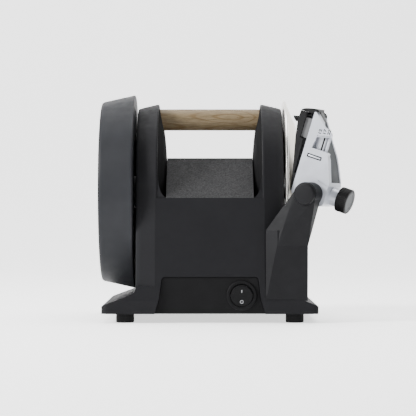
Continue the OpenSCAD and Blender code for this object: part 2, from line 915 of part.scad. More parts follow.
// Knurled knob, with its flutes cut along the rim, on its screw stem
module angle_knob() {
    flutes = 30;
    color("#1d1e20") on_guide() {
        difference() {
            rod_x([knob_from, knob_to], knob_d / 2, knob_at);
            for (i = [0:flutes - 1]) translate([0, knob_at[0], knob_at[1]]) rotate([i * 360 / flutes, 0, 0])
                rod_x([knob_from - 1, knob_to + 1], 0.6, [knob_d / 2 + 0.2, 0]);
            rod_x([knob_to - 1.2, knob_to + 1], knob_d / 2 - 2, knob_at);
        }
        rod_x([12, knob_from], 3, knob_at);
    }
}

module knob_cap() {
    color("#cfd2d8") on_guide()
        rod_x([knob_to - 1.2, knob_to], knob_d / 2 - 2.05, knob_at, knob_d / 2 - 2.6);
}

housing();
bottom_plate();
switch_panel();
inlet_panel();
foot_front_left();
foot_front_right();
foot_rear_left();
foot_rear_right();
foot_screws();
handle_grip();
handle_screws();
bearing_plate_left();
bearing_plate_right();
plate_screws();
spindle_bearings();
idler_bushes();
motor_stator();
motor_windings();
motor_bell_left();
motor_bell_right();
motor_bearings();
motor_bolts();
run_capacitor();
control_board();
power_inlet();
inlet_pins();
switch_bezel();
switch_pin();
guide_bracket();
bracket_bolts();
pivot_pin();
pivot_cap();
spindle_shaft();
output_gear();
diamond_wheel();
abrasive_ring();
wheel_nut();
honing_core();
honing_ring();
honing_nut();
idler_shaft();
idler_gear();
motor_shaft();
motor_rotor();
motor_fan();
switch_rocker();
guide_casting();
guide_side_insert();
guide_badge();
guide_leg();
top_cap();
jaw_pin();
scale_plate();
scale_pointer();
pressure_jaw();
jaw_pad();
jaw_wire();
jaw_spring();
angle_knob();
knob_cap();
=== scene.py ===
"""Looks for the bench knife sharpener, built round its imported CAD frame.

Sizes are in millimetres and places are in the body's frame: X along the spindle from the middle of
the body, Y to the back, Z up from the floor. place() moves a finished mesh into the row's frame.
"""
import json
import math

import bmesh
import bpy
from mathutils import Matrix, Vector


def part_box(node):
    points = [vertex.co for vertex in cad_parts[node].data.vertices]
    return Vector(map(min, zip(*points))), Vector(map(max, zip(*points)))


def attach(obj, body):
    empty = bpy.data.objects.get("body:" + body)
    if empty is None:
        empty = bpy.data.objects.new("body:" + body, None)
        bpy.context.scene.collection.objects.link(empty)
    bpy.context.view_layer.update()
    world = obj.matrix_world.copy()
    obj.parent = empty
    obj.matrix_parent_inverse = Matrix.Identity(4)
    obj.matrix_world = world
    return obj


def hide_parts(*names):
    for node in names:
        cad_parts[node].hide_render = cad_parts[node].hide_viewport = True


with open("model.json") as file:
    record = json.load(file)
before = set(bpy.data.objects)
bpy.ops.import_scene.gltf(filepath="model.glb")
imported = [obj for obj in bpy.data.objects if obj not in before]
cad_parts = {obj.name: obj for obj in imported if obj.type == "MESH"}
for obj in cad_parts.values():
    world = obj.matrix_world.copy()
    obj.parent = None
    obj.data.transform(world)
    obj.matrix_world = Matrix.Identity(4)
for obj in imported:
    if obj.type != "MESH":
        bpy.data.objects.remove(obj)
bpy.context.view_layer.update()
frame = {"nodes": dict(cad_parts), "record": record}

MM = 0.001
joints = {j["name"]: j for j in frame["record"]["behaviour"]["joints"]}
axle = Vector(joints["spindle_spin"]["pos_m"]) / MM
pivot = Vector(joints["guide_tilt"]["pos_m"]) / MM
housing_lo, housing_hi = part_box("housing")
BODY_X = (housing_lo.x + housing_hi.x) / 2 / MM
BODY_Y = axle.y
AXLE_Z = axle.z
BODY = Matrix.Translation((BODY_X, BODY_Y, 0))

# The knife guide's frame: X across its slot, Y along it, Z up it
along_slot = Vector(joints["guide_tilt"]["axis"])
across_slot = Vector(joints["angle_knob_turn"]["axis"])
up_slot = across_slot.cross(along_slot)
GUIDE = Matrix.Translation(pivot) @ Matrix((across_slot, along_slot, up_slot)).transposed().to_4x4()
PIVOT_TURN = math.atan2(along_slot.x, along_slot.y)
PIVOT = Matrix.Translation(pivot) @ Matrix.Rotation(-PIVOT_TURN, 4, "Z")


# ---------------------------------------------------------------- outlines

def arc(centre, radius, start, end, steps):
    """Points of an arc in degrees, ends included."""
    angles = [math.radians(start + (end - start) * i / steps) for i in range(steps + 1)]
    return [(centre[0] + radius * math.cos(a), centre[1] + radius * math.sin(a)) for a in angles]


def rounded(points, radius, steps=5):
    """A closed outline with each corner rounded; radius is one number, or one for each corner."""
    count = len(points)
    radii = radius if isinstance(radius, (list, tuple)) else [radius] * count
    out = []
    for i in range(count):
        p, r = Vector(points[i]), radii[i]
        to_last = Vector(points[i - 1]) - p
        to_next = Vector(points[(i + 1) % count]) - p
        corner = to_last.angle(to_next)
        if r <= 0 or corner > math.radians(178):
            out.append(tuple(p))
            continue
        cut = min(r / math.tan(corner / 2), 0.48 * to_last.length, 0.48 * to_next.length)
        a, b = p + to_last.normalized() * cut, p + to_next.normalized() * cut
        for k in range(steps + 1):
            t = k / steps
            out.append(tuple(a * (1 - t) ** 2 + p * 2 * t * (1 - t) + b * t ** 2))
    return out


def arc_points(count):
    """Cosine and sine at equal steps round a circle."""
    return [(math.cos(2 * math.pi * k / count), math.sin(2 * math.pi * k / count)) for k in range(count)]


def box(u0, v0, u1, v1):
    """A rectangle's outline from two opposite corners."""
    return [(u0, v0), (u1, v0), (u1, v1), (u0, v1)]


def mirrored(half):
    """Half of an outline, and its mirror image across the middle line."""
    return half + [(-u, v) for u, v in reversed(half)]


# ---------------------------------------------------------------- meshes

# Puts an outline's two coordinates and a distance along the axis into X, Y, Z order
TO_XYZ = {"x": lambda u, v, d: (d, u, v), "y": lambda u, v, d: (u, d, v), "z": lambda u, v, d: (u, v, d)}


def place(obj, matrix=BODY):
    """Turns a mesh in millimetres into metres in the row's frame."""
    obj.data.transform(Matrix.Scale(MM, 4) @ matrix)
    obj.data.update()
    return obj


def new_object(name, bm, smooth_angle=35):
    """An object from a bmesh, with normals outward and edges over the angle kept sharp."""
    bmesh.ops.recalc_face_normals(bm, faces=bm.faces)
    mesh = bpy.data.meshes.new(name)
    bm.to_mesh(mesh)
    bm.free()
    obj = bpy.data.objects.new(name, mesh)
    bpy.context.collection.objects.link(obj)
    for face in mesh.polygons:
        face.use_smooth = True
    mesh.set_sharp_from_angle(angle=math.radians(smooth_angle))
    return obj


def loft(name, loops, ring=False, smooth_angle=35, triangles=False):
    """A skin over loops of the same number of points; ring joins the last loop to the first."""
    bm = bmesh.new()
    rows = [[bm.verts.new(p) for p in loop] for loop in loops]
    pairs = list(zip(rows, rows[1:])) + ([(rows[-1], rows[0])] if ring else [])
    for low, high in pairs:
        for i in range(len(low)):
            j = (i + 1) % len(low)
            bm.faces.new((low[i], low[j], high[j], high[i]))
    if not ring:
        bm.faces.new(rows[0][::-1])
        bm.faces.new(rows[-1])
    bmesh.ops.remove_doubles(bm, verts=bm.verts, dist=1e-5)
    bmesh.ops.delete(bm, geom=[e for e in bm.edges if not e.link_faces], context="EDGES")
    if triangles:
        bmesh.ops.triangulate(bm, faces=bm.faces)
    return new_object(name, bm, smooth_angle)


def turned(name, profile, segments, at=(0, AXLE_Z), smooth_angle=35, axis="x"):
    """A closed profile of (radius, distance along the axis) points, turned round the axis at a point."""
    loops = [[TO_XYZ[axis](at[0] + r * c, at[1] + r * s, along) for r, along in profile]
             for c, s in arc_points(segments)]
    return loft(name, loops, ring=True, smooth_angle=smooth_angle)


def extruded(name, outline, low, high, axis="y", edge=0):
    """A prism of an outline along an axis; edge rounds its two ends.

    The outline is (y, z) points along x, (x, z) points along y and (x, y) points along z.
    """
    bm = bmesh.new()
    rows = [[bm.verts.new(TO_XYZ[axis](u, v, d)) for u, v in outline] for d in (low, high)]
    for i in range(len(outline)):
        j = (i + 1) % len(outline)
        bm.faces.new((rows[0][i], rows[0][j], rows[1][j], rows[1][i]))
    caps = [bm.faces.new(rows[0][::-1]), bm.faces.new(rows[1])]
    if edge > 0:
        rims = [e for cap in caps for e in cap.edges]
        bmesh.ops.bevel(bm, geom=rims, offset=edge, segments=3, profile=0.5, affect="EDGES")
    return new_object(name, bm)


def round_bar(name, radius, low, high, axis="y", at=(0, 0), segments=64, edge=0):
    """A round bar along an axis."""
    return extruded(name, arc(at, radius, 0, 360 - 360 / segments, segments - 1), low, high, axis, edge)


def hull(name, points):
    """The convex solid round some points."""
    bm = bmesh.new()
    for p in points:
        bm.verts.new(p)
    result = bmesh.ops.convex_hull(bm, input=bm.verts)
    left_over = result["geom_interior"] + result["geom_unused"]
    spare = {v for v in left_over if isinstance(v, bmesh.types.BMVert)}
    bmesh.ops.delete(bm, geom=list(spare), context="VERTS")
    bmesh.ops.dissolve_limit(bm, angle_limit=math.radians(3), verts=bm.verts, edges=bm.edges)
    return new_object(name, bm)


def combine(base, *changes, smooth_angle=35):
    """Adds, cuts or keeps what is shared: each change is ("add", "cut" or "keep", object)."""
    operations = {"add": "UNION", "cut": "DIFFERENCE", "keep": "INTERSECT"}
    for kind, tool in changes:
        step = base.modifiers.new("combine", "BOOLEAN")
        step.operation = operations[kind]
        step.solver = "EXACT"
        step.object = tool
        graph = bpy.context.evaluated_depsgraph_get()
        mesh = bpy.data.meshes.new_from_object(base.evaluated_get(graph))
        base.modifiers.clear()
        base.data = mesh
        bpy.data.objects.remove(tool)
    base.data.set_sharp_from_angle(angle=math.radians(smooth_angle))
    return base


def even_normals(obj):
    """Shades wide faces flat where they meet small rounded ones."""
    obj.modifiers.new("even_normals", "WEIGHTED_NORMAL").keep_sharp = True
    return obj


def soften(obj, width, steps=2, angle=40):
    """Rounds the sharp edges of a CAD node or a finished piece, and shades it to match."""
    bevel = obj.modifiers.new("soft_edges", "BEVEL")
    bevel.width = width * MM
    bevel.segments = steps
    bevel.limit_method = "ANGLE"
    bevel.angle_limit = math.radians(angle)
    bevel.use_clamp_overlap = True
    return even_normals(obj)


# ---------------------------------------------------------------- materials

def linear(code):
    """A linear RGBA colour from an sRGB code such as 303032."""
    parts = [int(code[i:i + 2], 16) / 255 for i in (0, 2, 4)]
    return tuple(c / 12.92 if c <= 0.04045 else ((c + 0.055) / 1.055) ** 2.4 for c in parts) + (1,)


class Shade:
    """A small builder for one procedural material."""

    def __init__(self, name, metallic=0.0, specular=0.5, coat=0.0, sheen=0.0, glow=0.0):
        self.material = bpy.data.materials.new(name)
        self.material.use_nodes = True
        self.nodes = self.material.node_tree.nodes
        self.links = self.material.node_tree.links
        self.shader = self.nodes["Principled BSDF"]
        for key, value in (("Metallic", metallic), ("Specular IOR Level", specular),
                           ("Coat Weight", coat), ("Coat Roughness", 0.1), ("Sheen Weight", sheen),
                           ("Emission Color", (1, 1, 1, 1)), ("Emission Strength", glow)):
            self.shader.inputs[key].default_value = value
        self.where = self.nodes.new("ShaderNodeTexCoord").outputs["Object"]

    def link(self, source, target):
        self.links.new(source, target)

    def mapped(self, scale):
        """Object coordinates scaled along each axis, which stretches a noise."""
        node = self.nodes.new("ShaderNodeMapping")
        node.inputs["Scale"].default_value = scale
        self.link(self.where, node.inputs["Vector"])
        return node.outputs["Vector"]

    def noise(self, size, detail=3, vector=None, rough=0.5, distortion=0.0):
        """Noise whose features are about size millimetres across."""
        node = self.nodes.new("ShaderNodeTexNoise")
        node.inputs["Scale"].default_value = 1 / (size * MM)
        node.inputs["Detail"].default_value = detail
        node.inputs["Roughness"].default_value = rough
        node.inputs["Distortion"].default_value = distortion
        self.link(vector or self.where, node.inputs["Vector"])
        return node.outputs["Fac"]

    def math(self, kind, a, b=None):
        """One sum on numbers or on other nodes' values."""
        node = self.nodes.new("ShaderNodeMath")
        node.operation = kind
        for slot, value in zip(node.inputs, (a, b)):
            if isinstance(value, (int, float)):
                slot.default_value = value
            elif value is not None:
                self.link(value, slot)
        return node.outputs[0]

    def ramp(self, fac, stops):
        """Maps a value to colours: stops are (place, colour) pairs."""
        node = self.nodes.new("ShaderNodeValToRGB")
        node.color_ramp.elements[0].position, node.color_ramp.elements[0].color = stops[0]
        node.color_ramp.elements[1].position, node.color_ramp.elements[1].color = stops[-1]
        for at, colour in stops[1:-1]:
            node.color_ramp.elements.new(at).color = colour
        self.link(fac, node.inputs["Fac"])
        return node.outputs["Color"]

    def spread(self, fac, low, high):
        """Maps a noise value, which mostly lies between 0.3 and 0.7, to a range of numbers."""
        node = self.nodes.new("ShaderNodeMapRange")
        for key, value in (("From Min", 0.3), ("From Max", 0.7), ("To Min", low), ("To Max", high)):
            node.inputs[key].default_value = value
        self.link(fac, node.inputs["Value"])
        return node.outputs["Result"]

    def mix(self, fac, a, b, blend="MIX"):
        """Mixes two colours by a value."""
        node = self.nodes.new("ShaderNodeMix")
        node.data_type = "RGBA"
        node.blend_type = blend
        for key, value in ((0, fac), (6, a), (7, b)):
            if isinstance(value, (tuple, float, int)):
                node.inputs[key].default_value = value
            else:
                self.link(value, node.inputs[key])
        return node.outputs[2]

    def bump(self, height, depth, below=None):
        """Bump of a depth in millimetres, laid over another bump."""
        node = self.nodes.new("ShaderNodeBump")
        node.inputs["Distance"].default_value = depth * MM
        self.link(height, node.inputs["Height"])
        if below:
            self.link(below, node.inputs["Normal"])
        return node.outputs["Normal"]

    def finish(self, colour, roughness, normal):
        """Joins the colour, roughness and bump to the shader."""
        self.link(colour, self.shader.inputs["Base Color"])
        self.link(roughness, self.shader.inputs["Roughness"])
        self.link(normal, self.shader.inputs["Normal"])
        return self.material


def tinted(code, factor):
    """A linear colour from a code, made lighter or darker."""
    return tuple(min(1, c * factor) for c in linear(code)[:3]) + (1,)


def mottled(s, code, vary, size):
    """Soft patches a little lighter and darker than a colour."""
    return s.ramp(s.noise(size, detail=4), [(0.3, tinted(code, 1 - vary)), (0.7, tinted(code, 1 + vary))])


def moulded(name, code, roughness=0.5, grain=0.5, depth=0.02, vary=0.12, **extra):
    """Moulded or painted surface: fine grain, soft patches of tone and gloss."""
    s = Shade(name, **extra)
    rough = s.spread(s.noise(9, detail=5), roughness - 0.05, roughness + 0.06)
    return s.finish(mottled(s, code, vary, 22), rough, s.bump(s.noise(grain, detail=2), depth))


def metal(name, code, roughness, grain=0.4, depth=0.004):
    """Bare metal: a fine grain and handled patches."""
    s = Shade(name, metallic=1.0)
    scratch = s.noise(grain, detail=4, rough=0.7)
    rough = s.spread(scratch, roughness - 0.06, roughness + 0.08)
    return s.finish(mottled(s, code, 0.08, 14), rough, s.bump(scratch, depth))


def cast_coat(name, code):
    """Powder coat: coarse grain on the ridge's slopes, and painted shade that darkens the faces inside the
    handle's gap.
    """
    s = Shade(name, specular=0.08)
    face = s.nodes.new("ShaderNodeNewGeometry")
    split = s.nodes.new("ShaderNodeSeparateXYZ")
    s.link(face.outputs["Normal"], split.inputs["Vector"])
    spot = s.nodes.new("ShaderNodeSeparateXYZ")
    s.link(s.where, spot.inputs["Vector"])
    upward = s.math("GREATER_THAN", split.outputs["Z"], 0.5)
    high = s.math("GREATER_THAN", spot.outputs["Z"], (SLOPE_Z - 1.0) * MM)
    off_middle = s.math("ABSOLUTE", s.math("SUBTRACT", spot.outputs["X"], BODY_X * MM))
    inside = s.math("LESS_THAN", off_middle, (BLOCK_X + 0.5) * MM)
    slope = s.math("MULTIPLY", s.math("MULTIPLY", upward, high), inside)
    specks = s.noise(1.5, detail=3, rough=0.6)
    plain = s.ramp(s.noise(30, detail=4), [(0.3, tinted(code, 0.95)), (0.7, tinted(code, 1.06))])
    # Mask for the painted shade: faces that look sideways, lie between the rims and stand above the ridge's
    # foot
    sideways = s.math("GREATER_THAN", s.math("ABSOLUTE", split.outputs["X"]), 0.6)
    between = s.math("LESS_THAN", off_middle, RIM_X * MM)
    inner = s.math("MULTIPLY", s.math("MULTIPLY", sideways, between), high)
    # Painted shade: these faces inside the handle's gap are darkened to about a third of the coat's colour
    plain = s.mix(inner, plain, tinted(code, 0.35))
    coarse = s.ramp(specks, [(0.36, tinted(SLOPE_TONE, 0.5)), (0.66, tinted(SLOPE_TONE, 1.8))])
    colour = s.mix(slope, plain, coarse)
    rough = s.math("MAXIMUM", s.spread(s.noise(6, detail=4), 0.5, 0.62), inner)
    fine = s.bump(s.noise(0.55, detail=2), 0.035)
    grain = s.math("MULTIPLY", slope, s.noise(1.3, detail=3, rough=0.65))
    return s.finish(colour, rough, s.bump(grain, 0.5, below=fine))


def oak(name):
    """Oiled oak with its grain along X: long streaks, cathedral figure, pores."""
    s = Shade(name, specular=0.2)
    along = s.mapped(scale=(0.06, 1, 1))
    drift = s.noise(14, detail=1, vector=along, distortion=0.25)
    rings = s.math("SINE", s.math("MULTIPLY", s.math("ADD", drift, s.noise(60, detail=0)), 30.0))
    streaks = s.noise(0.7, detail=5, vector=s.mapped(scale=(0.05, 1, 1)), rough=0.7)
    base = s.ramp(streaks, [(0.32, linear("564934")), (0.5, linear("6f614a")), (0.7, linear("827359"))])
    figure = s.ramp(rings, [(0.55, (1, 1, 1, 1)), (0.95, linear("d9ccba"))])
    grained = s.mix(0.75, base, figure, blend="MULTIPLY")
    pores = s.noise(0.32, detail=2, vector=s.mapped(scale=(0.07, 1, 1)))
    pits = s.ramp(pores, [(0.30, (0, 0, 0, 1)), (0.42, (1, 1, 1, 1))])
    colour = s.mix(pits, linear("5a4731"), grained)
    rough = s.spread(streaks, 0.42, 0.6)
    return s.finish(colour, rough, s.bump(pits, 0.05, below=s.bump(streaks, 0.03)))


def turned_steel(name, code, roughness, ring_size, depth, grit=0.0):
    """Steel turned round the spindle: fine rings, and a grit where the face is coated."""
    s = Shade(name, metallic=1.0)
    shift = s.nodes.new("ShaderNodeVectorMath")
    shift.operation = "SUBTRACT"
    s.link(s.where, shift.inputs[0])
    shift.inputs[1].default_value = (0, axle.y * MM, axle.z * MM)
    flat = s.nodes.new("ShaderNodeVectorMath")
    flat.operation = "MULTIPLY"
    s.link(shift.outputs[0], flat.inputs[0])
    flat.inputs[1].default_value = (0, 1, 1)
    length = s.nodes.new("ShaderNodeVectorMath")
    length.operation = "LENGTH"
    s.link(flat.outputs[0], length.inputs[0])
    rings = s.nodes.new("ShaderNodeTexNoise")
    rings.noise_dimensions = "1D"
    rings.inputs["Scale"].default_value = 1 / (ring_size * MM)
    rings.inputs["Detail"].default_value = 4
    s.link(length.outputs["Value"], rings.inputs["W"])
    ring = rings.outputs["Fac"]
    colour = s.ramp(ring, [(0.3, tinted(code, 0.93)), (0.7, tinted(code, 1.05))])
    rough = s.spread(ring, roughness - 0.05, roughness + 0.07)
    normal = s.bump(ring, depth)
    if grit:
        normal = s.bump(s.noise(0.25, detail=2), grit, below=normal)
    return s.finish(colour, rough, normal)


def laminated(name, code):
    """Stacked steel sheets along X."""
    s = Shade(name, metallic=0.8)
    sheets = s.noise(0.5, detail=2, vector=s.mapped(scale=(1, 0.02, 0.02)))
    colour = s.ramp(sheets, [(0.35, tinted(code, 0.75)), (0.65, tinted(code, 1.1))])
    return s.finish(colour, s.spread(sheets, 0.4, 0.6), s.bump(sheets, 0.05))


def wound(name, code):
    """Varnished copper wire, wound round the motor's axis."""
    s = Shade(name, metallic=0.4, coat=0.5)
    wires = s.noise(0.9, detail=3, vector=s.mapped(scale=(1, 0.3, 1)), distortion=0.6)
    colour = s.ramp(wires, [(0.3, tinted(code, 0.55)), (0.7, tinted(code, 1.25))])
    return s.finish(colour, s.spread(wires, 0.28, 0.5), s.bump(wires, 0.25))


# ---------------------------------------------------------------- driving sizes

# Widths in X and depths in Y are half sizes, because the body is symmetric
UPRIGHT_R = 90  # round top of an upright
UPRIGHT_X = 73.2  # an upright's outer face
CREASE_X = 54  # crest of the rim, where the side starts to slope
RIM_X = 52  # inner edge of the rim
SIDE_INSET = 4.4  # how far the side slopes in towards the outer face
BLOCK_X = 43.4  # ridge block
BODY_HALF = 53.6  # body between the uprights
BASE_X, BASE_Y = 107, 104  # base flange
FOOT_H = 9
PLATE_TOP = 12  # recess of the bottom plate
FLANGE_Z = 22  # where the legs' faces start to lean
LEG_Y = 89.7  # a leg at the axle's height
SLOPE_Y, SLOPE_Z = 91, 123  # foot of the ridge's slopes
RIDGE_Y, RIDGE_Z = 27, 164  # top of the ridge's slopes
WALL = 4
ROOF_Z = 118  # top of the lower hollow
BODY_INSET = 0.08  # keeps the body's faces just behind the legs'
PLATE_X, PLATE_R = 69.2, 66.1  # recess of a bearing plate
SHAFT_HOLE_R, IDLER_HOLE_R, SCREW_HEAD_R = 9.5, 12, 6
HANDLE_Z = AXLE_Z + 74.2
HANDLE_R = 11
WHEEL_R = 94
PANEL_Y = 96.5  # inner face of a panel
SWITCH = (31.3, 27.1)
INLET_HOLE = (-39.05, 16.95, -10.95, 37.05)
BRACKET_BOLTS = ((-93, 44), (-93, 64))
PIVOT_BORE_R = 4.03
SLOPE_TONE = "232324"


def front_y(z, inset=0.0):
    """Half of the leg's depth at a height: its faces lean out towards the base."""
    lean = (BASE_Y - LEG_Y) / (AXLE_Z - FLANGE_Z)
    return LEG_Y - inset + lean * (AXLE_Z - max(z, FLANGE_Z))


# ---------------------------------------------------------------- pieces of the body

def upright(side):
    """One upright, lofted along X from its outer face over the rim to the inner dome."""
    side_slope = SIDE_INSET / (UPRIGHT_X - CREASE_X)
    outer = [(73.2, 5.6), (73.05, 5.1), (72.6, 4.7), (71.8, 4.32), (70, 3.75)]
    outer += [(54 + 16 * k / 5, 16 * k / 5 * side_slope) for k in (4, 3, 2, 1)]
    rim = [(54.4, 0.1), (54, 0), (53.2, 0), (52.6, 0.15), (52.15, 0.5), (RIM_X, 1.1), (RIM_X, 2.6)]
    dome = [(51.7, 4.2), (51.3, 6), (50.6, 10), (49.6, 15), (48.4, 20.5), (47, 26), (45.9, 34)]
    dome += [(45, 44), (44.4, 55), (43.9, 68), (43.0, 87)]
    loops = []
    for x, inset in outer + rim + dome:
        radius = UPRIGHT_R - inset
        top = [(y, AXLE_Z + z) for y, z in arc((0, 0), radius, 4, 176, 100)]
        heights = [AXLE_Z - 2 - (AXLE_Z - 2 - FLANGE_Z) * k / 8 for k in range(9)] + [PLATE_TOP + 2]
        leg = mirrored([(-max(front_y(z, inset), 1), z) for z in heights])
        loops.append([(side * x, y, z) for y, z in top + leg])
    return loft(f"upright_{side}", loops, triangles=True)


def flange():
    """Base flange with round corners; its top slopes up to the legs, with a fillet."""
    fillet = [(UPRIGHT_X - 0.5, 36), *arc((UPRIGHT_X + 9, 36), 9.4, 180, 252, 8)]
    half = [(BASE_X, FOOT_H), (BASE_X, FOOT_H + 7), (BASE_X - 1.6, FOOT_H + 8.4), *fillet[::-1]]
    outline = [(-x, z) for x, z in half[::-1]] + half
    slope = extruded("flange", outline[::-1], -BASE_Y, BASE_Y)
    corners = rounded(box(BASE_X, BASE_Y, -BASE_X, -BASE_Y), 8, 8)
    changes = [("keep", extruded("flange_plan", corners, FOOT_H, 60, "z"))]
    for end in (-1, 1):
        lean = [(end * front_y(z, 0.05), z) for z in (FLANGE_Z, 60)]
        lean += [(end * 130, 60), (end * 130, FLANGE_Z)]
        changes.append(("cut", extruded("lean", lean, -120, 120, "x")))
    return combine(slope, *changes)


def panel_outline(inset=0.0, low=FOOT_H - 1):
    """The panel's outline, drawn in by an inset at its sides and top."""
    corners = [(-47.3, 45.3), (47.3, 45.3), (50.2, 23), (54.8, low), (-54.8, low), (-50.2, 23)]
    radii = [4, 4, 25, 0, 0, 25]
    pulled = [(x - math.copysign(inset, x), z - (inset if z > 40 else 0)) for x, z in corners]
    return rounded(pulled, radii, 6)


def inner_hollow():
    """The space in the body, and the one in the ridge block above it."""
    low = [(-BASE_Y + 2 * WALL, PLATE_TOP), (-SLOPE_Y + WALL, ROOF_Z)]
    high = [(-SLOPE_Y + 5, ROOF_Z - 20), (-SLOPE_Y + 5, SLOPE_Z - 1.6), (-RIDGE_Y + 1, RIDGE_Z - WALL)]
    side = BLOCK_X - WALL
    return [
        extruded("hollow", mirrored(low), -CREASE_X + WALL, BLOCK_X, "x"),
        extruded("ridge_hollow", mirrored(high), -side, side, "x")]


def corner_fillet(side, end):
    """The curve between the rim and the top of the front, at a lower corner of the handle's gap."""
    curve = [(43.4, 121), (43.4, 123), (44.2, 123.6), (45.8, 125), (47.6, 127.4), (49.2, 130.6)]
    curve += [(50.3, 134.6), (51, 139), (51.6, 145)]
    arch_r = UPRIGHT_R - 0.2
    loops = []
    for depth, share in ((None, 0), (87, 0.06), (82, 0.25), (76, 0.6), (70, 1)):
        loop = [(x + (52.2 - x) * share, z) for x, z in curve] + [(53, 145), (53, 121)]
        arch = [math.sqrt(arch_r ** 2 - max(z - AXLE_Z, 0) ** 2) for x, z in loop]
        face = [min(front_y(z, BODY_INSET), y) for (x, z), y in zip(loop, arch)]
        loops.append([(side * x, end * (depth or y), z) for (x, z), y in zip(loop, face)])
    return loft("corner_fillet", loops, triangles=True)


def housing():
    """The casting: body, ridge, uprights and flange in one, with its recesses and hollows cut."""
    base_y = BASE_Y - BODY_INSET
    front = [(-base_y, PLATE_TOP), (-base_y, FLANGE_Z), (-front_y(SLOPE_Z, BODY_INSET), SLOPE_Z)]
    body = extruded("housing_shell", mirrored(front), -BODY_HALF, BODY_HALF, "x")
    slope = front + arc((-RIDGE_Y + 1.2, RIDGE_Z - 2.5), 2.5, 122.6, 90, 4)
    ridge = slope + [(0, RIDGE_Z + 0.6)] + [(-y, z) for y, z in reversed(slope)]
    plate = rounded(box(98.1, 96.1, -98.1, -96.1), 6)
    changes = [("add", extruded("ridge", ridge, -BLOCK_X, BLOCK_X, "x"))]
    changes += [("add", upright(1)), ("add", upright(-1)), ("add", flange())]
    changes += [("add", corner_fillet(side, end)) for side in (-1, 1) for end in (-1, 1)]
    changes += [("cut", hollow) for hollow in inner_hollow()]
    changes += [("cut", extruded("recess", plate, 0, PLATE_TOP, "z"))]

    def bore(radius, start, end, segments, at=(0, AXLE_Z)):
        """Cuts a round hole along X between two places."""
        low, high = sorted((start, end))
        changes.append(("cut", round_bar("bore", radius, low, high, "x", at, segments)))

    gear_space = (BLOCK_X + 3.6, PLATE_X + 0.4)
    for side, hollow_r, hollow in ((-1, 40, (-PLATE_X - 0.4, -56.5)), (1, 50, gear_space)):
        near, far = sorted((side * 92, side * 120))
        changes.append(("cut", extruded("panel_cut", panel_outline(), near, far)))
        bore(PLATE_R, side * PLATE_X, side * 80, 128)
        bore(hollow_r, *hollow, 96)
        bore(SHAFT_HOLE_R, side * 38, side * 58, 64)
        bore(SCREW_HEAD_R, side * 66, side * 80, 48, at=(0, HANDLE_Z))
    idler = Vector(joints["idler_spin"]["pos_m"]) / MM
    bore(IDLER_HOLE_R, *gear_space, 48, at=(idler.y - BODY_Y, idler.z))
    return place(combine(body, *changes, smooth_angle=24))


def panel(name, end):
    """Front panel with the switch's hole, or rear panel with the inlet's hole and six vents."""
    near, far = sorted((end * PANEL_Y, end * (PANEL_Y + 3)))
    board = extruded(name, panel_outline(0.06, FOOT_H), near, far)
    if end < 0:
        return place(combine(board, ("cut", round_bar("hole", 13.95, -120, -80, at=SWITCH))))
    holes = [box(*INLET_HOLE)] + [rounded(box(4 + 7 * k, 16, 7 + 7 * k, 38), 1.4) for k in range(6)]
    return place(combine(board, *(("cut", extruded("hole", hole, 80, 120)) for hole in holes)))


def foot(name, x, y):
    """Rubber foot with a recess below and a groove round it."""
    profile = [(0, 1.3), (3.9, 1.3), (4.1, 0), (8.2, 0), (8.85, 0.5), (9, 1.3), (9, 6.6), (8.75, 6.9)]
    profile += [(8.75, 7.3), (9, 7.6), (9, FOOT_H), (0, FOOT_H)]
    return place(turned(name, profile, 72, at=(x, y), axis="z"))


def handle():
    """The oak bar; the points along it keep its faces short."""
    ends = [(0, -55.8), (HANDLE_R - 0.8, -55.8), (HANDLE_R, -55)]
    middle = [(HANDLE_R, x) for x in (-30, 0, 30)]
    profile = ends + middle + [(r, -x) for r, x in reversed(ends)]
    return place(turned("handle_bar", profile, 96, at=(0, HANDLE_Z)))


# ---------------------------------------------------------------- wheels and spindle

def diamond_wheel():
    """Steel wheel: a flat boss, a slanted outer face and a rounded rim; its back is hollowed."""
    profile = [(6.05, 78), (20, 78), (20, 82), (60, 82), (66, 76), (80, 75.3), (92.6, 75.1), (93.5, 75.4)]
    profile += [(WHEEL_R - 0.05, 76.0), (WHEEL_R - 0.05, 76.7), (93.6, 77.5), (92.4, 78.05), (90.6, 78.4)]
    profile += [(88.8, 78.55), (86.9, 79.35), (69.05, 87.3), (68.6, 87.75), (40, 87.78), (16, 87.78)]
    profile += [(6.05, 87.78)]
    return place(turned("wheel_disc", profile, 256))


def abrasive_face():
    """Thin diamond-coated layer on the wheel's slanted face."""
    profile = [(88.7, 78.65), (86.9, 79.4), (69.1, 87.4), (69.3, 87.75), (87.2, 79.75), (88.75, 78.95)]
    return place(turned("diamond_face", profile, 256, smooth_angle=50))


def honing_ring():
    """Dark honing rim: a slanted tread with rounded corners."""
    profile = [(60, -76.2), (97.6, -76.2), (98.7, -76.5), (99.4, -77.2), (99.45, -78.2), (99.1, -79.6)]
    profile += [(92.8, -107.9), (92.3, -109.2), (91.4, -110.4), (89.9, -110.95), (88, -111)]
    profile += [(64, -111), (61.2, -110.6), (60.2, -109.6), (60, -108)]
    return place(turned("honing_rim", profile, 256, smooth_angle=30))


def honing_core():
    """The hub that carries the honing rim, with a recess for its nut."""
    profile = [(6.05, -88), (6.05, -73.7), (15.4, -73.7), (16, -74.3), (16, -82), (54, -82), (57, -80.5)]
    profile += [(59.9, -77.4), (59.9, -106.8), (58.6, -105.6), (55.6, -93.2), (54, -92), (23, -92)]
    profile += [(22, -93), (22, -95.4), (21.4, -96), (12.6, -96), (12, -95.4), (12, -88)]
    return place(turned("honing_hub", profile, 192, smooth_angle=40))


# ---------------------------------------------------------------- switch

